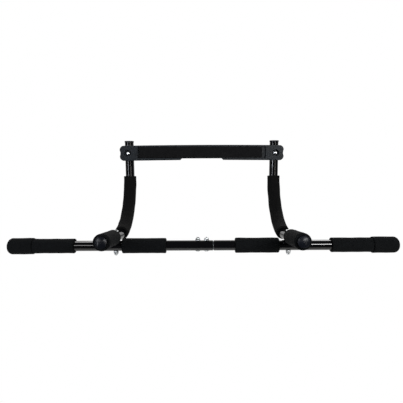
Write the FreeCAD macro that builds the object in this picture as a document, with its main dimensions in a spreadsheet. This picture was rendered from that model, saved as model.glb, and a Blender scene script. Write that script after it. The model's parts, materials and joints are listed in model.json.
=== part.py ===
import FreeCAD, Part
import os
import re

import Sketcher

# Doorway pull-up bar, in millimetres: +X along the bar, +Y away from the user, +Z up.
# The origin is the middle of the front face of the foam pad that presses on the wall above the door.
# The straight bar hangs in front of and below it, carried by two bent tubes that lean against the brace.

SIZES = {
    # Steel tube, the same stock for the straight bar and the two bent tubes.
    "tube_od": 25.0,
    "tube_wall": 1.5,
    # Straight bar: two halves joined in the middle by a narrowed end that slides into the other half.
    "left_bar_half": 463.5,
    "right_bar_half": 469.0,
    "left_half_end": 25.8,
    "joint_gap": 3.5,
    "swage_length": 2.5,
    "spigot_od": 21.8,
    "spigot_reach": 26.0,
    "joint_bolt_x": 10.5,
    "cross_x": 209.5,
    # Bent tubes: level handle run, one bend, then a leg that leans forward by the same angle as the brace.
    "seat_rise": 23.0,
    "front_reach": 134.0,
    "bend_start": 27.0,
    "bend_radius": 150.0,
    "lean": 7.0,
    "upper_leg": 87.4,
    "bolt_run": 55.7,
    "seat_length": 40.0,
    # Foam grips, sleeves and end pads.
    "inner_grip_od": 36.6,
    "inner_grip_length": 106.0,
    "left_inner_grip_start": 87.5,
    "right_inner_grip_start": 80.0,
    "outer_grip_od": 35.4,
    "left_outer_grip_start": 309.0,
    "right_outer_grip_start": 312.5,
    "outer_grip_length": 100.0,
    "handle_grip_od": 36.6,
    "handle_grip_start": 28.0,
    "handle_bare": 4.0,
    "sleeve_od": 35.6,
    "sleeve_from": 10.4,
    "sleeve_to": 93.2,
    "end_pad_od": 39.4,
    "end_pad_cover": 7.0,
    "end_pad_round": 11.5,
    # Plastic plugs.
    "plug_clearance": 0.1,
    "plug_wall": 2.0,
    "plug_barrel": 18.0,
    "plug_flange": 2.0,
    "handle_plug_od": 25.6,
    "handle_plug_rim": 2.2,
    "handle_plug_dome": 3.4,
    "top_plug_od": 26.4,
    "top_plug_flange": 4.0,
    # Brace across the back, with its foam pad let into the front face.
    "brace_length": 464.0,
    "brace_height": 42.5,
    "brace_thick": 18.0,
    "brace_corner": 12.0,
    "brace_edge": 2.0,
    "brace_crown": 1.6,
    "lip_half": 57.0,
    "lip_drop": 4.5,
    "scallop_chord": 17.0,
    "scallop_depth": 2.2,
    "pad_length": 346.0,
    "pad_height": 30.6,
    "pad_thick": 7.0,
    "pad_proud": 2.0,
    "recess_length": 362.0,
    "recess_height": 31.4,
    "top_rim": 3.4,
    "tube_standoff": 30.0,
    "channel_gap": 0.1,
    "bolt_drop": 2.3,
    "counterbore_od": 19.0,
    "counterbore_depth": 9.0,
    "cell_count": 10,
    "cell_pitch": 37.0,
    "cell_length": 34.5,
    "cell_depth": 9.5,
    "shell_wall": 3.0,
    # Fasteners: flat cap nuts at the joint, taller ones at the crossings, a larger size at the brace.
    "flat_bolt": 6.0,
    "flat_hole": 6.4,
    "flat_head_od": 12.0,
    "flat_head": 2.6,
    "flat_flats": 10.0,
    "flat_hex": 3.2,
    "flat_cap": 4.2,
    "flat_washer_od": 12.0,
    "flat_washer": 0.9,
    "flat_entry": 4.0,
    "small_bolt": 6.0,
    "small_hole": 6.4,
    "small_head_od": 12.0,
    "small_head": 3.3,
    "small_flats": 10.0,
    "small_hex": 5.0,
    "small_cap": 5.2,
    "small_washer_od": 12.0,
    "small_washer": 1.2,
    "small_entry": 6.5,
    "large_bolt": 8.0,
    "large_hole": 8.4,
    "large_head_od": 14.6,
    "large_head": 4.6,
    "large_flats": 13.0,
    "large_hex": 6.5,
    "large_cap": 6.6,
    "large_washer_od": 16.0,
    "large_washer": 1.6,
    "large_entry": 8.0,
    # Cap nuts: the cap's radius and how far the corners are turned down, as shares of the hexagon's sizes.
    "cap_share": 0.46,
    "corner_share": 0.6,
    "nut_spare": 0.5,
}


def formula(text):
    """Turns 'tube_od / 2' into 'Sizes.tube_od / 2', leaving numbers and functions alone."""
    return re.sub(r"[a-z]\w*", lambda word: "Sizes." + word[0] if word[0] in SIZES else word[0], text)


# Where the straight bar's axis lies, followed back from the brace bolt: down the leg, round the bend and down
# to the seat.
BOLT_Y = "(tube_standoff * cos(lean) + bolt_drop * sin(lean))"
BOLT_Z = "(tube_standoff * sin(lean) - bolt_drop * cos(lean))"
BAR_Y = BOLT_Y + " - (bend_start + bend_radius * cos(lean) - bolt_run * sin(lean))"
BAR_Z = BOLT_Z + " - (seat_rise + bend_radius * (1 + sin(lean)) + bolt_run * cos(lean))"

TUBE_R = "tube_od / 2"
BORE_R = "(tube_od / 2 - tube_wall)"
X_AXIS = FreeCAD.Vector(1, 0, 0)
Y_AXIS = FreeCAD.Vector(0, 1, 0)
Z_AXIS = FreeCAD.Vector(0, 0, 1)
SIDES = (("left", -1), ("right", 1))

doc = FreeCAD.newDocument("PullUpBar")
sheet = doc.addObject("Spreadsheet::Sheet", "Sizes")
for row, (alias, size) in enumerate(SIZES.items(), start=1):
    sheet.set(f"A{row}", alias)
    sheet.set(f"B{row}", str(size))
    sheet.setAlias(f"B{row}", alias)
doc.recompute()

subparts = []


def number(text):
    """The value that a formula has now."""
    return float(sheet.evalExpression(formula(text)))


def bind(thing, prop, text):
    thing.setExpression(prop, formula(text))


def place(thing, x="0", y="0", z="0", axis=X_AXIS, turn="0"):
    """Binds a piece's place, and its turn about one axis, to the sheet."""
    spot = FreeCAD.Vector(number(x), number(y), number(z))
    thing.Placement = FreeCAD.Placement(spot, FreeCAD.Rotation(axis, number(turn)))
    for prop, text in (("Base.x", x), ("Base.y", y), ("Base.z", z)):
        bind(thing, "Placement." + prop, text)
    if any(word in turn for word in SIZES):
        bind(thing, "Placement.Rotation.Angle", turn)
    return thing


def keep(thing, label):
    """Marks an object as a finished sub-part, whose label names its file."""
    thing.Label = label
    subparts.append(thing)
    return thing


def new_body(name):
    return doc.addObject("PartDesign::Body", name)


def new_sketch(body, role, offset=None):
    """A sketch on one of the body's own origin planes, moved along the plane's normal by offset."""
    sketch = body.newObject("Sketcher::SketchObject", "Sketch")
    plane = next(part for part in body.Origin.OriginFeatures if part.Role == role)
    sketch.AttachmentSupport = [(plane, "")]
    sketch.MapMode = "FlatFace"
    if offset:
        bind(sketch, "AttachmentOffset.Base.z", offset)
    return sketch


def fix_point(sketch, curve, end, x, y):
    for kind, text in (("DistanceX", x), ("DistanceY", y)):
        index = sketch.addConstraint(Sketcher.Constraint(kind, -1, 1, curve, end, number(text)))
        bind(sketch, f"Constraints[{index}]", text)


def fix_radius(sketch, curve, radius):
    index = sketch.addConstraint(Sketcher.Constraint("Radius", curve, number(radius)))
    bind(sketch, f"Constraints[{index}]", radius)


def circle(sketch, x, y, radius):
    centre = FreeCAD.Vector(number(x), number(y), 0)
    curve = sketch.addGeometry(Part.Circle(centre, Z_AXIS, number(radius)))
    fix_point(sketch, curve, 3, x, y)
    fix_radius(sketch, curve, radius)


def outline(sketch, corners):
    """A closed outline, anticlockwise. A corner is (x, y), or (x, y, (x, y), radius) where an arc of that
    radius, passing that middle point, leads to the next corner."""
    spots = [FreeCAD.Vector(number(c[0]), number(c[1]), 0) for c in corners]
    first = sketch.GeometryCount
    for index, corner in enumerate(corners):
        end = spots[(index + 1) % len(spots)]
        if len(corner) > 2:
            middle = FreeCAD.Vector(number(corner[2][0]), number(corner[2][1]), 0)
            sketch.addGeometry(Part.Arc(spots[index], middle, end))
        else:
            sketch.addGeometry(Part.LineSegment(spots[index], end))
    for index in range(len(corners)):
        following = first + (index + 1) % len(corners)
        sketch.addConstraint(Sketcher.Constraint("Coincident", first + index, 2, following, 1))
    for index, corner in enumerate(corners):
        fix_point(sketch, first + index, 1, corner[0], corner[1])
        if len(corner) > 2:
            fix_radius(sketch, first + index, corner[3])


def rectangle(sketch, left, bottom, right, top):
    outline(sketch, [(left, bottom), (right, bottom), (right, top), (left, top)])


def add(body, kind, sketch, **lengths):
    """A PartDesign feature of one sketch, with its lengths bound to the sheet."""
    feature = body.newObject("PartDesign::" + kind, kind)
    feature.Profile = sketch
    for prop, text in lengths.items():
        bind(feature, prop, text)
    sketch.Visibility = False
    return feature


def revolve(body, sketch, axis="H_Axis", angle="360"):
    feature = add(body, "Revolution", sketch)
    feature.ReferenceAxis = (sketch, [axis])
    bind(feature, "Angle", angle)
    return feature


def drill(body, sketch):
    """Cuts a sketch through everything, both ways."""
    pocket = add(body, "Pocket", sketch)
    pocket.Type = "ThroughAll"
    pocket.Midplane = True
    return pocket


def round_edges(body, radius, wanted):
    """Fillets the edges of the body so far for which wanted(edge) is true."""
    doc.recompute()
    base = body.Tip
    names = [f"Edge{i}" for i, edge in enumerate(base.Shape.Edges, start=1) if wanted(edge)]
    fillet = body.newObject("PartDesign::Fillet", "Fillet")
    fillet.Base = (base, names)
    bind(fillet, "Radius", radius)
    return fillet


def turned(name, corners):
    """A piece turned about its own X axis from a closed outline of (x, radius) corners."""
    body = new_body(name)
    sketch = new_sketch(body, "XZ_Plane")
    outline(sketch, corners)
    revolve(body, sketch)
    return body


def sleeve_corners(start, end, radius):
    """The section of a plain foam tube that fits the steel tube."""
    return [(start, TUBE_R), (end, TUBE_R), (end, radius), (start, radius)]


# --- straight bar ---------------------------------------------------------------------------------------


def drill_bar_half(body, side):
    """The two joint bolt holes, and the crossing's bolt hole on this side."""
    sketch = new_sketch(body, "XY_Plane")
    for x in ("-joint_bolt_x", "joint_bolt_x"):
        circle(sketch, x, "0", "flat_hole / 2")
    circle(sketch, f"{side} * cross_x", "0", "small_hole / 2")
    drill(body, sketch)


def make_left_main_tube():
    body = turned("LeftMainTube", [
        ("-left_bar_half", BORE_R), ("left_half_end", BORE_R), ("left_half_end", TUBE_R),
        ("-left_bar_half", TUBE_R)])
    drill_bar_half(body, -1)
    keep(place(body, y=BAR_Y, z=BAR_Z), "left_main_tube")


def make_right_main_tube():
    """This half's inner end is swaged down to a spigot that slides into the other half."""
    shoulder = "left_half_end + joint_gap"
    cone = shoulder + " - swage_length"
    narrow_bore = "(spigot_od / 2 - tube_wall)"
    body = turned("RightMainTube", [
        ("-spigot_reach", narrow_bore), (cone, narrow_bore), (shoulder, BORE_R), ("right_bar_half", BORE_R),
        ("right_bar_half", TUBE_R), (shoulder, TUBE_R), (cone, "spigot_od / 2"),
        ("-spigot_reach", "spigot_od / 2")])
    drill_bar_half(body, 1)
    keep(place(body, y=BAR_Y, z=BAR_Z), "right_main_tube")


def on_bar(body, sign):
    """Pieces of the bar are drawn for the right side; the left one is the same piece turned round."""
    return place(body, y=BAR_Y, z=BAR_Z, axis=Z_AXIS, turn="0" if sign > 0 else "180")


def make_bar_foam(side, sign):
    outer_start = f"{side}_outer_grip_start"
    outer_end = outer_start + " + outer_grip_length"
    inner_start = f"{side}_inner_grip_start"
    inner = turned("InnerGrip", sleeve_corners(
        inner_start, inner_start + " + inner_grip_length", "inner_grip_od / 2"))
    keep(on_bar(inner, sign), f"{side}_inner_grip")
    outer = turned("OuterGrip", sleeve_corners(outer_start, outer_end, "outer_grip_od / 2"))
    keep(on_bar(outer, sign), f"{side}_outer_grip")
    floor = f"{side}_bar_half + plug_flange"
    pad_end = f"{side}_bar_half + end_pad_cover"
    shoulder = pad_end + " - end_pad_round"
    corner_x = pad_end + " - end_pad_round * (1 - cos(45))"
    corner_r = "end_pad_od / 2 - end_pad_round * (1 - sin(45))"
    pad = turned("EndPad", [
        (outer_end, TUBE_R), (floor, TUBE_R), (floor, "0"), (pad_end, "0"),
        (pad_end, "end_pad_od / 2 - end_pad_round", (corner_x, corner_r), "end_pad_round"),
        (shoulder, "end_pad_od / 2"), (outer_end, "end_pad_od / 2")])
    keep(on_bar(pad, sign), f"{side}_end_pad")


def plug_corners(front, flange_r, flange):
    """A tube plug drawn pointing along +X: a thin flange on a hollow barrel that sits in the tube."""
    barrel_r = BORE_R + " - plug_clearance"
    hollow_r = barrel_r + " - plug_wall"
    back = f"{front} - plug_barrel"
    return [
        (back, hollow_r), (front, hollow_r), (front, "0"), (f"{front} + {flange}", "0"),
        (f"{front} + {flange}", flange_r), (front, flange_r), (front, barrel_r), (back, barrel_r)]


def make_bar_plug(side, sign):
    plug = turned("BarPlug", plug_corners(f"{side}_bar_half", TUBE_R, "plug_flange"))
    keep(on_bar(plug, sign), f"{side}_bar_plug")


# --- bent tubes -----------------------------------------------------------------------------------------


def bent_rod(name, radius, seat_radius):
    """A solid rod along the bent tube's centre line, hollowed underneath where it sits on the bar."""
    body = new_body(name)
    path = new_sketch(body, "YZ_Plane")
    start = ("-front_reach", "seat_rise")
    bend_from = ("bend_start", "seat_rise")
    bend_mid = (
        "bend_start + bend_radius * cos(45 - lean / 2)",
        "seat_rise + bend_radius * (1 - sin(45 - lean / 2))")
    bend_to = ("bend_start + bend_radius * cos(lean)", "seat_rise + bend_radius * (1 + sin(lean))")
    top = (bend_to[0] + " - upper_leg * sin(lean)", bend_to[1] + " + upper_leg * cos(lean)")
    start_v, from_v, mid_v, to_v, top_v = (
        FreeCAD.Vector(number(y), number(z), 0) for y, z in (start, bend_from, bend_mid, bend_to, top))
    path.addGeometry([Part.LineSegment(start_v, from_v), Part.Arc(from_v, mid_v, to_v),
                      Part.LineSegment(to_v, top_v)])
    path.addConstraint(Sketcher.Constraint("Coincident", 0, 2, 1, 1))
    path.addConstraint(Sketcher.Constraint("Coincident", 1, 2, 2, 1))
    fix_point(path, 0, 1, *start)
    fix_point(path, 0, 2, *bend_from)
    fix_radius(path, 1, "bend_radius")
    fix_point(path, 2, 1, *bend_to)
    fix_point(path, 2, 2, *top)
    section = new_sketch(body, "XZ_Plane", offset="front_reach")
    circle(section, "0", "seat_rise", radius)
    doc.recompute()
    pipe = body.newObject("PartDesign::AdditivePipe", "Pipe")
    pipe.Profile = section
    pipe.Spine = (path, ["Edge1", "Edge2", "Edge3"])
    seat = new_sketch(body, "YZ_Plane")
    circle(seat, "0", "0", seat_radius)
    groove = add(body, "Pocket", seat, Length="seat_length")
    groove.Midplane = True
    return body


def make_bent_tubes():
    """Both are the same rod with the same bore and bolt holes; the seat is pressed in, so its wall stays."""
    rod = bent_rod("BentRod", TUBE_R, TUBE_R)
    bore = bent_rod("BentBore", BORE_R, "tube_od / 2 + tube_wall")
    crossing_drill = doc.addObject("Part::Cylinder", "CrossingDrill")
    bind(crossing_drill, "Radius", "small_hole / 2")
    bind(crossing_drill, "Height", "3 * tube_od")
    place(crossing_drill)
    brace_drill = doc.addObject("Part::Cylinder", "BraceDrill")
    bind(brace_drill, "Radius", "large_hole / 2")
    bind(brace_drill, "Height", "2 * tube_od")
    place(brace_drill,
          y="bend_start + bend_radius * cos(lean) - bolt_run * sin(lean) - tube_od * cos(lean)",
          z="seat_rise + bend_radius * (1 + sin(lean)) + bolt_run * cos(lean) - tube_od * sin(lean)",
          turn="lean - 90")
    removed = doc.addObject("Part::MultiFuse", "BoreAndHoles")
    removed.Shapes = [bore, crossing_drill, brace_drill]
    for side, sign in SIDES:
        tube = doc.addObject("Part::Cut", f"{side}BentTube")
        tube.Base = rod
        tube.Tool = removed
        keep(place(tube, x=f"{sign} * cross_x", y=BAR_Y, z=BAR_Z), f"{side}_frame_tube")


def make_frame_sleeve(side, sign):
    """Foam round the bend: a ring carried round the bend's centre."""
    body = new_body("FrameSleeve")
    section = new_sketch(body, "XZ_Plane")
    circle(section, "0", "-bend_radius", "sleeve_od / 2")
    circle(section, "0", "-bend_radius", TUBE_R)
    revolve(body, section, angle="sleeve_to - sleeve_from")
    place(body, x=f"{sign} * cross_x", y=BAR_Y + " + bend_start", z=BAR_Z + " + seat_rise + bend_radius",
          turn="sleeve_from")
    keep(body, f"{side}_frame_sleeve")


def on_handle(body, sign):
    """Pieces of a handle are drawn along +X and turned to point at the user."""
    return place(body, x=f"{sign} * cross_x", y=BAR_Y, z=BAR_Z + " + seat_rise", axis=Z_AXIS, turn="-90")


def make_handle(side, sign):
    grip = turned("HandleGrip", sleeve_corners(
        "handle_grip_start", "front_reach - handle_bare", "handle_grip_od / 2"))
    keep(on_handle(grip, sign), f"{side}_handle_grip")
    barrel_r = BORE_R + " - plug_clearance"
    rim_r = "handle_plug_od / 2"
    rim_x = "front_reach + handle_plug_rim"
    dome_r = "((handle_plug_od / 2) ^ 2 + handle_plug_dome ^ 2) / (2 * handle_plug_dome)"
    half_rise = f"sqrt(({dome_r}) ^ 2 - (handle_plug_od / 4) ^ 2)"
    middle = (f"{rim_x} + handle_plug_dome - {dome_r} + {half_rise}", "handle_plug_od / 4")
    plug = turned("HandlePlug", [
        ("front_reach - plug_barrel", barrel_r + " - plug_wall"), ("front_reach", barrel_r + " - plug_wall"),
        ("front_reach", "0"), (f"{rim_x} + handle_plug_dome", "0", middle, dome_r), (rim_x, rim_r),
        ("front_reach", rim_r), ("front_reach", barrel_r), ("front_reach - plug_barrel", barrel_r)])
    keep(on_handle(plug, sign), f"{side}_handle_plug")


def make_top_plug(side, sign):
    """Closes the bent tube's upper end; drawn along +X and turned up the leaning leg."""
    plug = turned("TopPlug", plug_corners("0", "top_plug_od / 2", "top_plug_flange"))
    round_edges(plug, "top_plug_flange / 3", is_ring_at(number("top_plug_flange"), number("top_plug_od / 2")))
    place(plug, x=f"{sign} * cross_x",
          y=BAR_Y + " + bend_start + bend_radius * cos(lean) - upper_leg * sin(lean)",
          z=BAR_Z + " + seat_rise + bend_radius * (1 + sin(lean)) + upper_leg * cos(lean)")
    up = FreeCAD.Rotation(X_AXIS, number("lean")).multiply(FreeCAD.Rotation(Y_AXIS, -90))
    plug.Placement = FreeCAD.Placement(plug.Placement.Base, up)
    keep(plug, f"{side}_top_plug")


# --- brace ----------------------------------------------------------------------------------------------


def is_ring_at(x, radius, tolerance=0.01):
    """True for a whole circle of this radius about the X axis, at this x."""
    def wanted(edge):
        if not isinstance(edge.Curve, Part.Circle):
            return False
        return abs(edge.Curve.Radius - radius) < tolerance and abs(edge.Curve.Center.x - x) < tolerance
    return wanted


def is_on_face(y, tolerance=0.01):
    """True for an edge that lies in the plane of this y."""
    def wanted(edge):
        return abs(edge.BoundBox.YMin - y) < tolerance and abs(edge.BoundBox.YMax - y) < tolerance
    return wanted


def is_corner_post(edge):
    """True for the brace's four outer corner edges, which run along Y at its two ends."""
    box = edge.BoundBox
    at_end = abs(abs(box.Center.x) - number("brace_length / 2")) < 0.01
    return at_end and box.XLength < 0.01 and box.ZLength < 0.01


def make_brace():
    """A moulded beam: arched top edge, a lip under each half, a recess in front and ribbed cells behind."""
    top = "(recess_height / 2 + top_rim)"
    bottom = "(recess_height / 2 + top_rim - brace_height)"
    half = "brace_length / 2"
    crown_r = f"(({half}) ^ 2 + brace_crown ^ 2) / (2 * brace_crown)"
    body = new_body("Brace")
    face = new_sketch(body, "XZ_Plane", offset="-pad_proud")
    lip_end = "(lip_half + lip_drop)"
    lip_z = bottom + " + brace_crown"
    outline(face, [
        (f"-{half}", bottom), (f"-{lip_end}", lip_z), ("-lip_half", lip_z + " + lip_drop"),
        ("lip_half", lip_z + " + lip_drop"), (lip_end, lip_z), (half, bottom),
        (half, top, ("0", f"{top} + brace_crown"), crown_r), (f"-{half}", top)])
    beam = add(body, "Pad", face, Length="brace_thick")
    beam.Reversed = True
    round_edges(body, "brace_corner", is_corner_post)
    round_edges(body, "brace_edge", is_on_face(number("pad_proud")))
    round_edges(body, "brace_edge / 2", is_on_face(number("pad_proud + brace_thick")))
    scallop = new_sketch(body, "XZ_Plane")
    scallop_r = "((scallop_chord / 2) ^ 2 + scallop_depth ^ 2) / (2 * scallop_depth)"
    for sign in (-1, 1):
        circle(scallop, f"{sign} * ({half} - scallop_depth + {scallop_r})", "-bolt_drop", scallop_r)
    drill(body, scallop)
    recess = new_sketch(body, "XZ_Plane")
    rectangle(recess, "-recess_length / 2", "-recess_height / 2", "recess_length / 2", "recess_height / 2")
    add(body, "Pocket", recess, Length="pad_thick").Reversed = False
    counterbores = new_sketch(body, "XZ_Plane")
    holes = new_sketch(body, "XZ_Plane")
    channels = new_sketch(body, "XY_Plane")
    for sign in (-1, 1):
        circle(counterbores, f"{sign} * cross_x", "-bolt_drop", "counterbore_od / 2")
        circle(holes, f"{sign} * cross_x", "-bolt_drop", "large_hole / 2")
        circle(channels, f"{sign} * cross_x", "tube_standoff", TUBE_R + " + channel_gap")
    add(body, "Pocket", counterbores, Length="pad_proud + counterbore_depth")
    drill(body, holes)
    drill(body, channels)
    cell = new_sketch(body, "XZ_Plane", offset="-(pad_proud + brace_thick)")
    start = "-cell_pitch * (cell_count - 1) / 2"
    rectangle(cell, f"{start} - cell_length / 2", f"{bottom} + brace_crown + lip_drop + shell_wall",
              f"{start} + cell_length / 2", f"{top} - shell_wall")
    pocket = add(body, "Pocket", cell, Length="cell_depth")
    pocket.Reversed = True
    doc.recompute()
    row = body.newObject("PartDesign::LinearPattern", "Cells")
    row.Originals = [pocket]
    row.Direction = (cell, ["H_Axis"])
    bind(row, "Length", "cell_pitch * (cell_count - 1)")
    bind(row, "Occurrences", "cell_count")
    body.Tip = row
    keep(place(body, turn="lean"), "door_brace")


def make_brace_pad():
    body = new_body("BracePad")
    face = new_sketch(body, "XZ_Plane")
    rectangle(face, "-pad_length / 2", "-pad_height / 2", "pad_length / 2", "pad_height / 2")
    add(body, "Pad", face, Length="pad_thick").Reversed = True
    keep(place(body, turn="lean"), "brace_pad")


# --- fasteners ------------------------------------------------------------------------------------------


def bolt(name, size, length):
    """A domed head below the XY plane and a plain shank up the Z axis."""
    head_r = f"{size}_head_od / 2"
    dome_r = f"(({head_r}) ^ 2 + {size}_head ^ 2) / (2 * {size}_head)"
    middle = (f"{head_r} / 2", f"{dome_r} - {size}_head - sqrt(({dome_r}) ^ 2 - ({head_r} / 2) ^ 2)")
    body = new_body(name)
    section = new_sketch(body, "XZ_Plane")
    outline(section, [
        ("0", f"-{size}_head", middle, dome_r), (head_r, "0"), (f"{size}_bolt / 2", "0"),
        (f"{size}_bolt / 2", length), ("0", length)])
    revolve(body, section, axis="V_Axis")
    return body


def washer(name, size):
    body = new_body(name)
    section = new_sketch(body, "XZ_Plane")
    rectangle(section, f"{size}_hole / 2", "0", f"{size}_washer_od / 2", f"{size}_washer")
    revolve(body, section, axis="V_Axis")
    return body


def cap_nut(name, size):
    """A hexagon with its outer corners turned off, a round cap on it and a blind hole up the middle."""
    across_corners = f"{size}_flats / cos(30)"
    body = new_body(name)
    hexagon = new_sketch(body, "XY_Plane")
    outline(hexagon, [
        (f"{across_corners} / 2 * cos({60 * i})", f"{across_corners} / 2 * sin({60 * i})") for i in range(6)])
    add(body, "Pad", hexagon, Length=f"{size}_hex")
    cap_r = f"({size}_flats * cap_share)"
    cap = new_sketch(body, "XZ_Plane")
    top = f"{size}_hex + {size}_cap"
    middle = (f"{cap_r} * cos(45)", f"{top} - {cap_r} * (1 - sin(45))")
    outline(cap, [
        ("0", "0"), (cap_r, "0"), (cap_r, f"{top} - {cap_r}", middle, cap_r), ("0", top)])
    revolve(body, cap, axis="V_Axis")
    edge = new_sketch(body, "XZ_Plane")
    drop = f"({across_corners} / 2 - {size}_flats / 2) * corner_share"
    beyond = f"{across_corners} / 2 + nut_spare"
    outline(edge, [
        (f"{size}_flats / 2", f"{size}_hex"), (beyond, f"{size}_hex - {drop}"), (beyond, f"{size}_hex")])
    groove = add(body, "Groove", edge)
    groove.ReferenceAxis = (edge, ["V_Axis"])
    bind(groove, "Angle", "360")
    hole = new_sketch(body, "XY_Plane")
    circle(hole, "0", "0", f"{size}_bolt / 2")
    add(body, "Pocket", hole, Length=f"{size}_entry + nut_spare").Reversed = True
    return body


def pair(piece, label):
    """The piece and its mirror image across the middle, kept as one node of two solids."""
    mirrored = doc.addObject("Part::Mirroring", "Mirrored")
    mirrored.Source = piece
    mirrored.Normal = X_AXIS
    both = doc.addObject("Part::Compound", "Pair")
    both.Links = [piece, mirrored]
    keep(both, label)


def along_bolt(piece, label, depth):
    """Lays a pair on the brace bolts' lines, this far behind the pad's face."""
    place(piece, x="cross_x", y=f"{depth} * cos(lean) + bolt_drop * sin(lean)",
          z=f"{depth} * sin(lean) - bolt_drop * cos(lean)", turn="lean - 90")
    pair(piece, label)


def make_fasteners():
    spot = {"x": "joint_bolt_x", "y": BAR_Y}
    pair(place(bolt("JointBolt", "flat", "tube_od + flat_washer + flat_entry"),
               z=BAR_Z + f" - {TUBE_R}", **spot), "joint_bolts")
    pair(place(washer("JointWasher", "flat"), z=BAR_Z + f" + {TUBE_R}", **spot), "joint_washers")
    pair(place(cap_nut("JointNut", "flat"), z=BAR_Z + f" + {TUBE_R} + flat_washer", **spot), "joint_nuts")
    spot = {"x": "cross_x", "y": BAR_Y, "turn": "180"}
    pair(place(bolt("CrossBolt", "small", "seat_rise + tube_od + small_washer + small_entry"),
               z=BAR_Z + f" + seat_rise + {TUBE_R}", **spot), "cross_bolts")
    pair(place(washer("CrossWasher", "small"), z=BAR_Z + f" - {TUBE_R}", **spot), "cross_washers")
    pair(place(cap_nut("CrossNut", "small"), z=BAR_Z + f" - ({TUBE_R} + small_washer)", **spot), "cross_nuts")
    head_depth = "(pad_proud + counterbore_depth)"
    tube_back = f"(tube_standoff + {TUBE_R})"
    along_bolt(bolt("BraceBolt", "large", f"{tube_back} - {head_depth} + large_washer + large_entry"),
               "brace_bolts", head_depth)
    along_bolt(washer("BraceWasher", "large"), "brace_washers", tube_back)
    along_bolt(cap_nut("BraceNut", "large"), "brace_nuts", f"({tube_back} + large_washer)")


# --- whole object ---------------------------------------------------------------------------------------

make_left_main_tube()
make_right_main_tube()
make_bent_tubes()
for side, sign in SIDES:
    make_bar_foam(side, sign)
    make_bar_plug(side, sign)
    make_frame_sleeve(side, sign)
    make_handle(side, sign)
    make_top_plug(side, sign)
make_brace()
make_brace_pad()
make_fasteners()
doc.recompute()

for thing in doc.Objects:
    if "Invalid" in thing.State or "Error" in thing.State:
        raise RuntimeError(f"{thing.Label} failed: {thing.State}")
for thing in subparts:
    if thing.Shape.isNull() or not thing.Shape.isValid():
        raise RuntimeError(f"{thing.Label} has no valid shape")

os.makedirs("parts", exist_ok=True)
for thing in subparts:
    thing.Shape.exportStep(os.path.join("parts", thing.Label + ".step"))
    box = thing.Shape.BoundBox
    print(f"{thing.Label:20s} {len(thing.Shape.Solids)} solids {thing.Shape.Volume:10.1f} mm3", end="")
    for low, high in ((box.XMin, box.XMax), (box.YMin, box.YMax), (box.ZMin, box.ZMax)):
        print(f"  {low:8.2f} {high:8.2f}", end="")
    print()
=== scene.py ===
"""Looks of a doorway pull up bar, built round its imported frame.

Everything is in metres, in the frame's own axes: +X along the straight bar, +Y away from the user, +Z up.
Steel, plastic and fasteners stay the frame's own pieces and get their finishes here. Every foam piece is
modelled here.
"""

import json
import logging
import math
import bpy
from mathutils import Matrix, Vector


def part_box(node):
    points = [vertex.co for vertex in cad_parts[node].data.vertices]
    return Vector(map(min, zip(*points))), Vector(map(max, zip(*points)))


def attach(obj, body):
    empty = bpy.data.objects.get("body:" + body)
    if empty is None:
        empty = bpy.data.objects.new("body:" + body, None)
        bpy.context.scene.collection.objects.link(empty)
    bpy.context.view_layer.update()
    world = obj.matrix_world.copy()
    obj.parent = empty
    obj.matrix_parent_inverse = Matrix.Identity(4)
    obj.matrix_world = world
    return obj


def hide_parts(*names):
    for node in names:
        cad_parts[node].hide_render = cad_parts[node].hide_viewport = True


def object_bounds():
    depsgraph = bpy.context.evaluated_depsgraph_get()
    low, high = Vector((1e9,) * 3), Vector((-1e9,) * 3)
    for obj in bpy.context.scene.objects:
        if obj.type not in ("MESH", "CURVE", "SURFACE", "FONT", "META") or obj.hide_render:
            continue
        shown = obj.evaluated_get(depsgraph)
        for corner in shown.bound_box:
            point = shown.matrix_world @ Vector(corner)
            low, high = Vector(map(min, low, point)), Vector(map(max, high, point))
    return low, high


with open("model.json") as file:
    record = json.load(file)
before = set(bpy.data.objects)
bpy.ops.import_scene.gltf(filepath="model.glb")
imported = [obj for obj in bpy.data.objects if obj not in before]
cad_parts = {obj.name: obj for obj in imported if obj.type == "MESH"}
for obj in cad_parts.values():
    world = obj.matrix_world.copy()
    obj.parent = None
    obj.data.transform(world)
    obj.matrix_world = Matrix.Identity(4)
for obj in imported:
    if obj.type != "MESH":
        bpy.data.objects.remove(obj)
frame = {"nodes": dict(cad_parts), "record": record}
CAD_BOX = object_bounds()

import zlib
from dataclasses import dataclass, field
from enum import Enum

import bpy
import numpy as np
from mathutils import Quaternion, Vector

MM = 0.001
TURN = 2 * math.pi
log = logging.getLogger("pull_up_bar")


class Side(Enum):
    """Which half of the bar a piece is on, with the sign of its X."""

    LEFT = -1
    RIGHT = 1

    def node(self, piece: str) -> str:
        """The frame's name for this side's piece."""
        return f"{self.name.lower()}_{piece}"


# --- materials ------------------------------------------------------------------------------------------


def linear(hex_colour: str) -> tuple[float, float, float, float]:
    """Turns an sRGB hex colour into linear RGBA.

    Args:
        hex_colour: six hex digits, such as "1d2125".

    Returns:
        Linear red, green, blue and an alpha of one.
    """
    parts = [int(hex_colour[i:i + 2], 16) / 255 for i in (0, 2, 4)]
    red, green, blue = (c / 12.92 if c <= 0.04045 else ((c + 0.055) / 1.055) ** 2.4 for c in parts)
    return red, green, blue, 1.0


def per_metre(size_mm: float) -> float:
    """A texture scale that makes its features about size_mm across on Object coordinates."""
    return 1 / (size_mm * MM)


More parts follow.
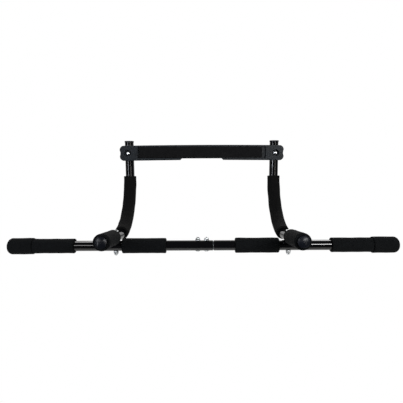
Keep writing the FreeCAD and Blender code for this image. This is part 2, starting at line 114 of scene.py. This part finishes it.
def add_node(tree: bpy.types.NodeTree, kind: str, values: dict | None = None, links: dict | None = None,
             **settings) -> bpy.types.Node:
    """Adds a node with its settings, socket values and incoming links.

    Args:
        tree: the node tree to add to.
        kind: the node's type, without its "ShaderNode" prefix.
        values: socket name or index to value.
        links: socket name or index to the output socket that feeds it.
        **settings: the node's own properties.

    Returns:
        The new node.
    """
    node = tree.nodes.new("ShaderNode" + kind)
    for prop, value in settings.items():
        setattr(node, prop, value)
    for socket, value in (values or {}).items():
        node.inputs[socket].default_value = value
    for socket, source in (links or {}).items():
        tree.links.new(source, node.inputs[socket])
    return node


def new_material(name: str) -> tuple[bpy.types.Material, bpy.types.NodeTree, bpy.types.NodeSocket]:
    """An empty node material, its tree and its Object coordinates."""
    material = bpy.data.materials.new(name)
    material.use_nodes = True
    tree = material.node_tree
    tree.nodes.clear()
    return material, tree, add_node(tree, "TexCoord").outputs["Object"]


def finish_material(tree: bpy.types.NodeTree, values: dict, links: dict) -> None:
    """Adds the Principled shader with its values and links, and the output it feeds."""
    shader = add_node(tree, "BsdfPrincipled", values, links)
    add_node(tree, "OutputMaterial", links={"Surface": shader.outputs["BSDF"]})


@dataclass(frozen=True)
class FoamFinish:
    """Closed-cell nitrile foam, extruded as a tube: a dead matt skin of tiny burst cells."""

    name: str
    dark: str
    pale: str
    cell_mm: float = 1.1
    mottle_mm: float = 7.0
    cell_depth_mm: float = 0.22
    mottle_depth_mm: float = 0.35

    def build(self) -> bpy.types.Material:
        """Makes the material.

        The real cells are about 0.4 mm, too fine for a whole view of the bar, so they are drawn near three
        times as wide, with a slow mottle over them where the skin is thicker or thinner. Each cell's colour
        is darkest at the floor of its pit, which is painted shade in the pits.
        """
        material, tree, place = new_material(self.name)
        mottle = add_node(tree, "TexNoise",
                          {"Scale": per_metre(self.mottle_mm), "Detail": 4.0, "Roughness": 0.62},
                          {"Vector": place})
        cells = add_node(tree, "TexVoronoi", {"Scale": per_metre(self.cell_mm)}, {"Vector": place},
                         feature="SMOOTH_F1")
        fine = add_node(tree, "TexNoise", {"Scale": per_metre(self.cell_mm * 0.6), "Detail": 3.0},
                        {"Vector": place})
        spread = add_node(tree, "MapRange", {"From Min": 0.36, "From Max": 0.66},
                          {"Value": mottle.outputs["Fac"]})
        # painted shade: the colour is darkened where the cell bump sinks into a pit, over the random mottle
        # tone
        shaded_pits = add_node(tree, "MapRange", {"From Min": 0.15, "From Max": 0.75},
                        {"Value": cells.outputs["Distance"]})
        blend = add_node(tree, "Math", links={0: spread.outputs["Result"], 1: shaded_pits.outputs["Result"],
                                              2: fine.outputs["Fac"]}, operation="MULTIPLY_ADD")
        tone = add_node(tree, "MapRange", {"From Min": 0.3, "From Max": 1.5}, {"Value": blend.outputs[0]})
        colour = add_node(tree, "Mix", {"A": linear(self.dark), "B": linear(self.pale)},
                          {"Factor": tone.outputs["Result"]}, data_type="RGBA")
        rough = add_node(tree, "MapRange", {"To Min": 0.8, "To Max": 0.98},
                         {"Value": cells.outputs["Distance"]})
        skin = add_node(tree, "Bump", {"Strength": 0.55, "Distance": self.cell_depth_mm * MM},
                        {"Height": cells.outputs["Distance"]})
        grain = add_node(tree, "Bump", {"Strength": 0.4, "Distance": self.mottle_depth_mm * MM},
                         {"Height": mottle.outputs["Fac"], "Normal": skin.outputs["Normal"]})
        finish_material(tree, {"IOR": 1.5, "Specular IOR Level": 0.09},
                        {"Base Color": colour.outputs["Result"], "Roughness": rough.outputs["Result"],
                         "Normal": grain.outputs["Normal"]})
        return material


@dataclass(frozen=True)
class StovedPaintFinish:
    """Gloss black powder coat baked on steel tube: a deep wet shine with a faint orange peel and fine rubs.

    The narrowed end that slides inside the straight bar is left bare, which puts a glint in the joint's gap.
    """

    name: str
    colour: str
    bar_axis: tuple[float, float]
    bare_colour: str = "6c6e70"
    bare_radius_mm: float = 11.8
    bare_blend_mm: float = 0.3
    peel_mm: float = 5.0
    peel_depth_mm: float = 0.0003
    haze_mm: float = 38.0
    rub_mm: float = 1.6

    def build(self) -> bpy.types.Material:
        """Makes the material.

        The peel is in the normal and the haze and rubs are in the roughness. Bare steel shows only nearer to
        the straight bar's axis than bare_radius_mm, which is inside the full-width tube.
        """
        material, tree, place = new_material(self.name)
        parts = add_node(tree, "SeparateXYZ", links={"Vector": place})
        across = add_node(tree, "CombineXYZ", links={"Y": parts.outputs["Y"], "Z": parts.outputs["Z"]})
        radius = add_node(tree, "VectorMath", {1: (0.0, *self.bar_axis)}, {0: across.outputs[0]},
                          operation="DISTANCE")
        edge, blend = self.bare_radius_mm * MM, self.bare_blend_mm * MM
        fade = add_node(tree, "MapRange",
                        {"From Min": edge - blend, "From Max": edge, "To Min": 1.0, "To Max": 0.0},
                        {"Value": radius.outputs["Value"]})
        bare = fade.outputs["Result"]
        peel = add_node(tree, "TexNoise", {"Scale": per_metre(self.peel_mm), "Detail": 1.5},
                        {"Vector": place})
        haze = add_node(tree, "TexNoise", {"Scale": per_metre(self.haze_mm), "Detail": 5.0, "Roughness": 0.6},
                        {"Vector": place})
        rubs = add_node(tree, "TexNoise", {"Scale": per_metre(self.rub_mm), "Detail": 2.0, "Distortion": 1.2},
                        {"Vector": place})
        worn = add_node(tree, "MapRange", {"From Min": 0.66, "From Max": 0.78, "To Max": 0.008},
                        {"Value": rubs.outputs["Fac"]})
        gloss = add_node(tree, "MapRange",
                         {"From Min": 0.35, "From Max": 0.7, "To Min": 0.05, "To Max": 0.075},
                         {"Value": haze.outputs["Fac"]})
        rough = add_node(tree, "Math", links={0: gloss.outputs["Result"], 1: worn.outputs["Result"]},
                         operation="ADD")
        surface = add_node(tree, "Bump", {"Strength": 0.5, "Distance": self.peel_depth_mm * MM},
                           {"Height": peel.outputs["Fac"]})
        deep = linear(self.colour)
        tint = add_node(tree, "Mix", {"A": deep, "B": tuple(1.9 * c for c in deep[:3]) + (1.0,)},
                        {"Factor": haze.outputs["Fac"]}, data_type="RGBA")
        coat = add_node(tree, "Mix", {"B": linear(self.bare_colour)},
                        {"Factor": bare, "A": tint.outputs["Result"]}, data_type="RGBA")
        scuffed = add_node(tree, "Math", {1: 0.25}, {0: bare, 2: rough.outputs[0]}, operation="MULTIPLY_ADD")
        finish_material(tree, {"IOR": 1.5, "Specular IOR Level": 0.5},
                        {"Base Color": coat.outputs["Result"], "Roughness": scuffed.outputs[0],
                         "Metallic": bare, "Normal": surface.outputs["Normal"]})
        return material


@dataclass(frozen=True)
class MouldedFinish:
    """Injection-moulded black plastic with a spark-eroded grain, which breaks up its cool sheen."""

    name: str
    dark: str
    pale: str
    roughness: float
    grain_mm: float = 1.5
    grain_depth_mm: float = 0.06
    flow_mm: float = 26.0

    def build(self) -> bpy.types.Material:
        """Makes the material.

        The mould's grain is about 0.3 mm, drawn several times as coarse so that it still shows from a metre
        away. The flow is how the plastic ran in the mould, which leaves slow changes of tone and gloss.
        """
        material, tree, place = new_material(self.name)
        grain = add_node(tree, "TexVoronoi", {"Scale": per_metre(self.grain_mm)}, {"Vector": place},
                         feature="SMOOTH_F1")
        flow = add_node(tree, "TexNoise",
                        {"Scale": per_metre(self.flow_mm), "Detail": 4.0, "Distortion": 0.6},
                        {"Vector": place})
        spread = add_node(tree, "MapRange", {"From Min": 0.35, "From Max": 0.68},
                          {"Value": flow.outputs["Fac"]})
        colour = add_node(tree, "Mix", {"A": linear(self.dark), "B": linear(self.pale)},
                          {"Factor": spread.outputs["Result"]}, data_type="RGBA")
        rough = add_node(tree, "MapRange", {"To Min": self.roughness - 0.06, "To Max": self.roughness + 0.1},
                         {"Value": flow.outputs["Fac"]})
        surface = add_node(tree, "Bump", {"Strength": 0.45, "Distance": self.grain_depth_mm * MM},
                           {"Height": grain.outputs["Distance"]})
        finish_material(tree, {"IOR": 1.54, "Specular IOR Level": 0.14},
                        {"Base Color": colour.outputs["Result"], "Roughness": rough.outputs["Result"],
                         "Normal": surface.outputs["Normal"]})
        return material


@dataclass(frozen=True)
class ZincFinish:
    """Bright zinc plate on steel fasteners: a cool silver with a faint cloudy spangle and a fine grain."""

    name: str
    bright: str
    dull: str
    cloud_mm: float = 3.0
    grain_mm: float = 0.5
    grain_depth_mm: float = 0.02

    def build(self) -> bpy.types.Material:
        """Makes the material: clouds in colour and roughness, and a fine grain in the normal."""
        material, tree, place = new_material(self.name)
        cloud = add_node(tree, "TexNoise", {"Scale": per_metre(self.cloud_mm), "Detail": 4.0},
                         {"Vector": place})
        grain = add_node(tree, "TexNoise", {"Scale": per_metre(self.grain_mm), "Detail": 2.0},
                         {"Vector": place})
        colour = add_node(tree, "Mix", {"A": linear(self.bright), "B": linear(self.dull)},
                          {"Factor": cloud.outputs["Fac"]}, data_type="RGBA")
        rough = add_node(tree, "MapRange", {"To Min": 0.2, "To Max": 0.42}, {"Value": cloud.outputs["Fac"]})
        surface = add_node(tree, "Bump", {"Strength": 0.25, "Distance": self.grain_depth_mm * MM},
                           {"Height": grain.outputs["Fac"]})
        finish_material(tree, {"Metallic": 1.0},
                        {"Base Color": colour.outputs["Result"], "Roughness": rough.outputs["Result"],
                         "Normal": surface.outputs["Normal"]})
        return material


@dataclass
class Finishes:
    """Every finish of the object, made once and shared by its pieces."""

    tube: bpy.types.Material = field(init=False)
    grip: bpy.types.Material = field(init=False)
    sleeve: bpy.types.Material = field(init=False)
    end_pad: bpy.types.Material = field(init=False)
    wall_pad: bpy.types.Material = field(init=False)
    brace: bpy.types.Material = field(init=False)
    plug: bpy.types.Material = field(init=False)
    zinc: bpy.types.Material = field(init=False)

    def __post_init__(self) -> None:
        """Builds the materials; the straight bar's axis is the middle of its left half."""
        low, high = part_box("left_main_tube")
        axis = ((low[1] + high[1]) / 2, (low[2] + high[2]) / 2)
        self.tube = StovedPaintFinish("gloss_black_powder_coat", "040405", axis).build()
        self.grip = FoamFinish("nitrile_foam_grip", "030405", "0b0d0f").build()
        self.sleeve = FoamFinish("nitrile_foam_sleeve", "030304", "0b0b0a", mottle_mm=9.0).build()
        self.end_pad = FoamFinish("nitrile_foam_end_pad", "030405", "0b0c0e", cell_mm=1.3).build()
        self.wall_pad = FoamFinish("eva_foam_wall_pad", "080809", "121213", cell_mm=0.9,
                                   mottle_mm=12.0).build()
        self.brace = MouldedFinish("grained_black_abs", "0b0f13", "11161b", 0.42).build()
        self.plug = MouldedFinish("satin_black_polyethylene", "0a0c11", "0e1118", 0.3,
                                  grain_depth_mm=0.002).build()
        self.zinc = ZincFinish("bright_zinc_plate", "e2e5e6", "bcc0c3").build()


# --- surfaces -------------------------------------------------------------------------------------------


def closed_surface(name: str, rows: np.ndarray, wrap: bool) -> bpy.types.Object:
    """Puts a closed surface, given as a grid of points, into a new object.

    Each row is a ring whose last point joins its first. With wrap, the last row joins the first, like the
    skin of a ring; without it, each end row is closed by a fan to its own middle. Faces are turned outwards
    by the sign of the volume that they hold.

    Args:
        name: the object's name.
        rows: points as (rows, points in a row, 3).
        wrap: whether the rows close on themselves.

    Returns:
        The object, smooth shaded, at the origin.
    """
    count, around, _ = rows.shape
    upper = np.arange(count if wrap else count - 1)
    row, column = np.meshgrid(upper, np.arange(around), indexing="ij")
    below, beside = (row + 1) % count, (column + 1) % around
    quads = np.stack([row * around + column, row * around + beside, below * around + beside,
                      below * around + column], axis=-1).reshape(-1, 4)
    points = rows.reshape(-1, 3)
    fans = np.zeros((0, 3), int)
    if not wrap:
        ring = np.arange(around)
        after = (ring + 1) % around
        first, last = len(points), len(points) + 1
        end = (count - 1) * around
        fans = np.concatenate([np.stack([after, ring, np.full(around, first)], axis=1),
                               np.stack([end + ring, end + after, np.full(around, last)], axis=1)])
        points = np.concatenate([points, rows[0].mean(0, keepdims=True), rows[-1].mean(0, keepdims=True)])
    halves = np.concatenate([quads[:, [0, 1, 2]], quads[:, [0, 2, 3]], fans])
    corner = points[halves] - points.mean(0)
    volume = np.einsum("ij,ij->i", corner[:, 0], np.cross(corner[:, 1], corner[:, 2])).sum()
    if volume < 0:
        quads, fans = quads[:, ::-1], fans[:, ::-1]
    mesh = bpy.data.meshes.new(name)
    mesh.from_pydata(points.tolist(), [], quads.tolist() + fans.tolist())
    mesh.polygons.foreach_set("use_smooth", np.ones(len(mesh.polygons), bool))
    mesh.update()
    piece = bpy.data.objects.new(name, mesh)
    bpy.context.scene.collection.objects.link(piece)
    return piece


def arc(centre: tuple[float, float], radius: float, start: float, end: float, steps: int) -> np.ndarray:
    """Points of a circle's arc, from start to end in degrees, ends included."""
    turn = np.radians(np.linspace(start, end, steps))
    return np.stack([centre[0] + radius * np.cos(turn), centre[1] + radius * np.sin(turn)], axis=1)


def run(start: tuple[float, float], end: tuple[float, float], pitch: float) -> np.ndarray:
    """Evenly spaced points strictly between two points, about pitch apart."""
    a, b = np.array(start), np.array(end)
    steps = max(2, int(math.ceil(np.linalg.norm(b - a) / pitch)))
    return a + (b - a) * np.linspace(0, 1, steps + 1)[1:-1, None]


@dataclass(frozen=True)
class Softness:
    """How far a foam surface strays from true: slow waves along and round it."""

    depth: float = 0.16 * MM
    shortest: float = 22 * MM
    longest: float = 70 * MM
    waves: int = 6

    def offset(self, name: str, along: np.ndarray, angle: np.ndarray) -> np.ndarray:
        """Sum of sine waves, each with its own length, lobes and phase, seeded by the name."""
        rng = np.random.default_rng(zlib.crc32(name.encode()))
        total = np.zeros(np.broadcast(along, angle).shape)
        for _ in range(self.waves):
            length = rng.uniform(self.shortest, self.longest)
            lobes = rng.integers(0, 4)
            total += np.sin(TURN * along / length + lobes * angle + rng.uniform(0, TURN))
        return total * self.depth / math.sqrt(self.waves)


@dataclass
class FoamTube:
    """A piece of foam tube on a steel tube, as the closed loop of its wall's section.

    The loop runs out along the skin and back along the bore, in (distance along, radius).
    """

    length: float
    bore: float
    outer: float
    edge: float = 2.6 * MM
    lip: float = 0.7 * MM
    pitch: float = 1.3 * MM

    def section(self) -> np.ndarray:
        """The wall's section: arcs of radius edge at the skin's ends and of radius lip at the bore's ends."""
        e, q = self.edge, self.lip
        return np.concatenate([
            arc((e, self.outer - e), e, 180, 90, 7),
            run((e, self.outer), (self.length - e, self.outer), self.pitch),
            arc((self.length - e, self.outer - e), e, 90, 0, 7),
            arc((self.length - q, self.bore + q), q, 0, -90, 4),
            run((self.length - q, self.bore), (q, self.bore), 8 * self.pitch),
            arc((q, self.bore + q), q, -90, -180, 4),
        ])


@dataclass
class StraightFoam:
    """A foam grip on a straight stretch of tube, standing for one CAD node."""

    node: str
    axis: int
    bore: float
    material: bpy.types.Material
    slot: str = "grip_foam"
    around: int = 96
    flare: float = 0.25 * MM
    softness: Softness = Softness()

    def build(self) -> bpy.types.Object:
        """Carries the wall's section round the tube.

        A point at distance s along the piece and angle a round it lies at the section's radius, plus the
        slow waves, plus a slight flare that grows towards both ends, where the cutting blade pressed the foam
        out.

        Returns:
            The finished piece.
        """
        low, high = (np.array(corner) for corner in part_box(self.node))
        across = [i for i in range(3) if i != self.axis]
        outer = (high[across[0]] - low[across[0]]) / 2
        length = high[self.axis] - low[self.axis]
        loop = FoamTube(length, self.bore, outer).section()
        along, radius = loop[:, :1], loop[:, 1:]
        angle = np.linspace(0, TURN, self.around, endpoint=False)[None, :]
        skin = np.clip((radius - self.bore) / (outer - self.bore), 0, 1)
        ends = (2 * along / length - 1) ** 6
        spread = radius + skin * (self.softness.offset(self.node, along, angle) + self.flare * (ends - 0.35))
        rows = np.empty(spread.shape + (3,))
        rows[..., self.axis] = low[self.axis] + along
        rows[..., across[0]] = (low + high)[across[0]] / 2 + spread * np.cos(angle)
        rows[..., across[1]] = (low + high)[across[1]] / 2 + spread * np.sin(angle)
        piece = closed_surface(self.node + "_foam", rows, wrap=True)
        return dress_foam(piece, self.node, self.material)


@dataclass
class BendSleeve:
    """The long foam sleeve on a bent tube, which creases on the inside of the bend."""

    side: Side
    bore: float
    bend_radius: float
    material: bpy.types.Material
    start_deg: float = 10.4
    end_deg: float = 93.2
    outer: float = 17.8 * MM
    around: int = 112
    creases: int = 13
    crease_depth: float = 0.7 * MM
    crease_width: float = 1.5 * MM
    softness: Softness = Softness(depth=0.22 * MM)

    def build(self) -> bpy.types.Object:
        """Carries the wall's section round the bend.

        At distance s along the centre line the section stands at angle start + s / bend radius round the
        bend's centre. A point at angle a round the section lies bend radius + r cos a from that centre, and
        r sin a to the side. Creases are narrow dents, at seeded places, that fade out round the section from
        its inner side.

        Returns:
            The finished piece.
        """
        name = self.side.node("frame_sleeve")
        low, high = (np.array(corner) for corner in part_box(self.side.node("frame_tube")))
        centre = np.array([(low[0] + high[0]) / 2, high[1] - self.bend_radius - self.bore,
                           low[2] + self.bend_radius + self.bore])
        length = math.radians(self.end_deg - self.start_deg) * self.bend_radius
        loop = FoamTube(length, self.bore, self.outer, edge=2.2 * MM, pitch=1.0 * MM).section()
        along, radius = loop[:, :1], loop[:, 1:]
        angle = np.linspace(0, TURN, self.around, endpoint=False)[None, :]
        skin = np.clip((radius - self.bore) / (self.outer - self.bore), 0, 1)
        inner = np.clip(-np.cos(angle), 0, 1) ** 1.5
        dents = self.dents(name, along, angle) * inner
        spread = radius + skin * (self.softness.offset(name, along, angle) - dents)
        turn = math.radians(self.start_deg) + along / self.bend_radius
        reach = self.bend_radius + spread * np.cos(angle)
        rows = np.stack([centre[0] + spread * np.sin(angle), centre[1] + reach * np.sin(turn),
                         centre[2] - reach * np.cos(turn)], axis=-1)
        piece = closed_surface(name + "_foam", rows, wrap=True)
        return dress_foam(piece, name, self.material)

    def dents(self, name: str, along: np.ndarray, angle: np.ndarray) -> np.ndarray:
        """Sum of bell-shaped dents across the sleeve, uneven in place and depth and slightly askew."""
        rng = np.random.default_rng(zlib.crc32((name + "_creases").encode()))
        length = math.radians(self.end_deg - self.start_deg) * self.bend_radius
        stray = rng.uniform(-0.28, 0.28, self.creases)
        spots = (np.arange(self.creases) + 0.5 + stray) * length / self.creases
        fade = np.sin(math.pi * spots / length) ** 0.5
        depths = self.crease_depth * rng.uniform(0.35, 1.0, self.creases) * fade
        skew = rng.uniform(-2.5, 2.5, self.creases) * MM
        total = np.zeros(np.broadcast(along, angle).shape)
        for spot, depth, lean in zip(spots, depths, skew):
            total += depth * np.exp(-((along - spot - lean * np.sin(angle)) / self.crease_width) ** 2)
        return total


@dataclass
class EndPad:
    """A blind foam cap on an end of the straight bar, with a full round end that bears on the door trim."""

    side: Side
    bore: float
    material: bpy.types.Material
    round_end: float = 11.5 * MM
    edge: float = 1.8 * MM
    lip: float = 0.6 * MM
    floor: float = 5.0 * MM
    swell: float = 0.5 * MM
    around: int = 96
    softness: Softness = Softness(depth=0.2 * MM)

    def build(self) -> bpy.types.Object:
        """Turns the cap's section about the bar's axis, from the middle of its end to that of its floor.

        The end isn't flat: it swells by a small dome that falls off with the square of the radius.

        Returns:
            The finished piece.
        """
        node = self.side.node("end_pad")
        low, high = (np.array(corner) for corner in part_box(node))
        length, outer = high[0] - low[0], (high[2] - low[2]) / 2
        flat, e, q = outer - self.round_end, self.edge, self.lip
        bottom = length - self.floor
        loop = np.concatenate([
            run((length, 0.0), (length, flat), 1.6 * MM),
            arc((length - self.round_end, flat), self.round_end, 0, 90, 14),
            run((length - self.round_end, outer), (e, outer), 1.3 * MM),
            arc((e, outer - e), e, 90, 180, 7),
            arc((q, self.bore + q), q, 180, 270, 4),
            run((q, self.bore), (bottom, self.bore), 8 * MM),
            run((bottom, self.bore), (bottom, 0.0), 3 * MM),
        ])
        along, radius = loop[:, :1], loop[:, 1:]
        angle = np.linspace(0, TURN, self.around, endpoint=False)[None, :]
        skin = np.clip((radius - self.bore) / (outer - self.bore), 0, 1)
        dome = np.where(along > length - 0.1 * MM, self.swell * (1 - np.clip(radius / flat, 0, 1) ** 2), 0.0)
        spread = radius + skin * self.softness.offset(node, along, angle)
        start = low[0] if self.side is Side.RIGHT else high[0]
        rows = np.empty(spread.shape + (3,))
        rows[..., 0] = start + self.side.value * (along + dome)
        rows[..., 1] = (low[1] + high[1]) / 2 + spread * np.cos(angle)
        rows[..., 2] = (low[2] + high[2]) / 2 + spread * np.sin(angle)
        piece = closed_surface(node + "_foam", rows, wrap=False)
        return dress_foam(piece, node, self.material)


@dataclass
class WallPad:
    """The long foam pad glued into the brace, which presses on the wall; it sits a little off true."""

    material: bpy.types.Material
    lean_deg: float = 7.0
    length: float = 346 * MM
    height: float = 30.6 * MM
    thick: float = 7 * MM
    edge: float = 1.8 * MM
    crown: float = 0.5 * MM
    shift: float = -3 * MM
    askew_deg: float = -0.12
    slant: float = 60.0
    softness: Softness = Softness(depth=0.18 * MM, shortest=30 * MM, longest=110 * MM)

    def build(self) -> bpy.types.Object:
        """Carries a rounded oblong section along the pad.

        The section is an oblong with its front corners rounded by edge. Towards each end it draws in by
        edge - sqrt(edge^2 - d^2), for a distance d into the rounded end, so that the ends are as round as the
        long edges. The front swells by a low arch across its height, and by the slow waves, which turn by
        slant radians for each metre up the pad.

        Returns:
            The finished piece.
        """
        e, half = self.edge, self.height / 2
        loop = np.concatenate([
            run((-half + e, 0.0), (half - e, 0.0), 2 * MM),
            arc((half - e, e), e, -90, 0, 6),
            run((half, e), (half, self.thick), 2.5 * MM),
            np.array([[half, self.thick]]),
            run((half, self.thick), (-half, self.thick), 6 * MM),
            np.array([[-half, self.thick]]),
            run((-half, self.thick), (-half, e), 2.5 * MM),
            arc((-half + e, e), e, 180, 270, 6),
        ])
        bend = e * (1 - np.cos(np.linspace(0, math.pi / 2, 6)))
        middle = np.linspace(e, self.length - e, 170)[1:-1]
        along = np.concatenate([bend, middle, self.length - bend[::-1]])[:, None]
        into = np.clip(np.maximum(e - along, along - self.length + e), 0, e)
        draw = e - np.sqrt(e ** 2 - into ** 2)
        up = loop[None, :, 0] * (1 - draw / half)
        front = 1 - loop[None, :, 1] / self.thick
        arch = self.crown * (1 - (up / half) ** 2)
        wave = self.softness.offset("wall_pad", along, up * self.slant)
        depth = loop[None, :, 1] + front * (draw - (arch + wave) * (into < e))
        askew, lean = math.radians(self.askew_deg), math.radians(self.lean_deg)
        across = along - self.length / 2 + self.shift + 0 * up
        up = up + across * math.sin(askew)
        rows = np.stack([across, depth * math.cos(lean) - up * math.sin(lean),
                         depth * math.sin(lean) + up * math.cos(lean)], axis=-1)
        piece = closed_surface("brace_pad_foam", rows, wrap=False)
        return dress_foam(piece, "brace_pad", self.material)


def dress_foam(piece: bpy.types.Object, node: str, material: bpy.types.Material) -> bpy.types.Object:
    """Gives a foam piece its finish and says what it stands for.

    Args:
        piece: the new piece.
        node: the CAD node that it replaces.
        material: its finish.

    Returns:
        The same piece.
    """
    piece.data.materials.append(material)
    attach(piece, "root")
    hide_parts(node)
    log.info("%s: %d faces, in place of %s", piece.name, len(piece.data.polygons), node)
    return piece


# --- sub-assemblies -------------------------------------------------------------------------------------


@dataclass
class FoamSet:
    """Every foam piece: grips on the bar and handles, sleeves on the bends, end pads and the wall pad."""

    finishes: Finishes
    tube_radius: float = 12.5 * MM
    bend_radius: float = 150 * MM

    def build(self) -> None:
        """Builds the pieces of both sides, then the wall pad."""
        bore = self.tube_radius + 0.05 * MM
        for side in Side:
            for piece, axis in (("inner_grip", 0), ("outer_grip", 0), ("handle_grip", 1)):
                StraightFoam(side.node(piece), axis, bore, self.finishes.grip).build()
            BendSleeve(side, self.tube_radius, self.bend_radius, self.finishes.sleeve).build()
            EndPad(side, bore, self.finishes.end_pad).build()
        WallPad(self.finishes.wall_pad).build()


@dataclass
class HardParts:
    """The frame's own pieces that stay as they are: tubes, plugs, brace and fasteners."""

    finishes: Finishes

    def dress(self) -> None:
        """Gives each node its finish by the slot that the record puts it in."""
        looks = {"tube_paint": self.finishes.tube, "zinc_steel": self.finishes.zinc,
                 "brace_plastic": self.finishes.brace, "plug_plastic": self.finishes.plug,
                 "black_plastic": self.finishes.plug}
        for part in frame["record"]["subparts"]:
            look = looks.get(part["material_slot"])
            if look:
                frame["nodes"][part["node"]].material_slots[0].material = look
                log.info("%s: %s", part["node"], look.name)


# --- studio ---------------------------------------------------------------------------------------------


@dataclass
class SoftBox:
    """A rectangular studio light that points at a place on the object and isn't seen itself."""

    name: str
    place: tuple[float, float, float]
    target: tuple[float, float, float]
    size: tuple[float, float]
    power: float
    colour: str = "ffffff"

    def build(self) -> None:
        """Adds the light."""
        lamp = bpy.data.lights.new(self.name, "AREA")
        lamp.shape = "RECTANGLE"
        lamp.size, lamp.size_y = self.size
        lamp.energy = self.power
        lamp.color = linear(self.colour)[:3]
        light = bpy.data.objects.new(self.name, lamp)
        light.location = self.place
        light.rotation_mode = "QUATERNION"
        light.rotation_quaternion = (Vector(self.target) - Vector(self.place)).to_track_quat("-Z", "Y")
        light.visible_camera = False
        bpy.context.scene.collection.objects.link(light)


@dataclass
class Studio:
    """White surroundings, a pale floor well below the object, soft boxes and the camera.

    The camera's place is measured from the middle of the straight bar, in metres.
    """

    camera_place: tuple[float, float, float] = (-0.0012, -0.8738, 0.1105)
    pitch_deg: float = -0.24
    roll_deg: float = -0.25
    lens_mm: float = 32.06
    floor_drop: float = 0.40
    floor_front: float = -0.45
    floor_back: float = 6.0
    floor_width: float = 6.0

    def build(self) -> None:
        """Builds floor, surroundings, lights and camera, and sets the plain view transform."""
        bpy.context.scene.view_settings.view_transform = "Standard"
        self.build_floor()
        self.build_world()
        self.build_camera()
        bar, legs = (0.0, -0.14, -0.245), (0.0, 0.0, -0.05)
        for box in (
            SoftBox("back_box", (0.0, 1.25, 1.05), (0.0, -0.1, -0.15), (2.6, 0.8), 9.0, "fffaf2"),
            SoftBox("top_box_left", (-0.66, 0.2, 1.0), bar, (0.6, 0.35), 5.0),
            SoftBox("top_box_right", (0.68, 0.6, 0.9), bar, (0.6, 0.3), 4.0),
            SoftBox("upper_strip_right", (0.85, -1.5, 0.27), bar, (1.1, 0.2), 26.0),
            SoftBox("upper_strip_left", (-0.85, -1.5, 0.17), bar, (1.1, 0.28), 6.0),
            SoftBox("side_strip_left", (-1.08, -1.25, -0.05), legs, (0.09, 1.5), 10.0, "f2f6ff"),
            SoftBox("side_strip_right", (1.55, -2.5, -0.05), legs, (0.15, 2.2), 13.0, "fffaf4"),
        ):
            box.build()

    def build_floor(self) -> None:
        """A plain pale floor, under the object and behind it, white to look at and softer as a light."""
        half, depth = self.floor_width / 2, CAD_BOX[0].z - self.floor_drop
        front, back = self.floor_front, self.floor_back
        mesh = bpy.data.meshes.new("floor")
        corners = [(-half, front, depth), (half, front, depth), (half, back, depth), (-half, back, depth)]
        mesh.from_pydata(corners, [], [(0, 1, 2, 3)])
        floor = bpy.data.objects.new("floor", mesh)
        bpy.context.scene.collection.objects.link(floor)
        material = bpy.data.materials.new("pale_studio_floor")
        material.use_nodes = True
        tree = material.node_tree
        tree.nodes.clear()
        card = add_node(tree, "BsdfPrincipled", {
            "Base Color": linear("c8c8c6"), "Roughness": 0.9, "Specular IOR Level": 0.1,
            "Emission Color": linear("ffffff"), "Emission Strength": 0.3})
        white = add_node(tree, "Emission", {"Color": linear("ffffff"), "Strength": 1.0})
        ray = add_node(tree, "LightPath").outputs["Is Camera Ray"]
        both = add_node(tree, "MixShader", links={0: ray, 1: card.outputs[0], 2: white.outputs[0]})
        add_node(tree, "OutputMaterial", links={"Surface": both.outputs[0]})
        mesh.materials.append(material)

    def build_world(self) -> None:
        """White to look at; as light it is bright behind and above the object and dark elsewhere."""
        world = bpy.data.worlds.new("studio")
        bpy.context.scene.world = world
        world.use_nodes = True
        tree = world.node_tree
        tree.nodes.clear()
        toward = add_node(tree, "TexCoord").outputs["Generated"]
        parts = add_node(tree, "SeparateXYZ", links={"Vector": toward})
        behind = add_node(tree, "MapRange", {"From Min": 0.15, "From Max": 0.7},
                          {"Value": parts.outputs["Y"]}, interpolation_type="SMOOTHSTEP")
        above = add_node(tree, "MapRange", {"From Min": -0.08, "From Max": 0.12, "To Max": 0.85},
                         {"Value": parts.outputs["Z"]}, interpolation_type="SMOOTHSTEP")
        glow = add_node(tree, "Math", {2: 0.06}, {0: behind.outputs["Result"], 1: above.outputs["Result"]},
                        operation="MULTIPLY_ADD")
        lit = add_node(tree, "Background", links={"Strength": glow.outputs[0]})
        seen = add_node(tree, "Background", {"Color": (1.0, 1.0, 1.0, 1.0), "Strength": 1.0})
        ray = add_node(tree, "LightPath").outputs["Is Camera Ray"]
        both = add_node(tree, "MixShader", links={0: ray, 1: lit.outputs[0], 2: seen.outputs[0]})
        add_node(tree, "OutputWorld", links={"Surface": both.outputs[0]})

    def build_camera(self) -> None:
        """Stands the camera in front of the straight bar and a little above it, nearly level."""
        low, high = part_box("left_main_tube")
        bar = Vector((0.0, (low.y + high.y) / 2, (low.z + high.z) / 2))
        pitch = math.radians(self.pitch_deg)
        forward = Vector((0.0, math.cos(pitch), math.sin(pitch)))
        camera = bpy.data.objects.new("camera", bpy.data.cameras.new("camera"))
        camera.data.lens = self.lens_mm
        camera.location = bar + Vector(self.camera_place)
        camera.rotation_mode = "QUATERNION"
        level = forward.to_track_quat("-Z", "Y")
        camera.rotation_quaternion = level @ Quaternion((0.0, 0.0, 1.0), math.radians(self.roll_deg))
        bpy.context.scene.collection.objects.link(camera)
        bpy.context.scene.camera = camera


def main() -> None:
    """Builds the object's looks and the studio."""
    logging.basicConfig(level=logging.INFO, format="%(message)s")
    finishes = Finishes()
    HardParts(finishes).dress()
    FoamSet(finishes).build()
    Studio().build()


if __name__ == "__main__":
    main()
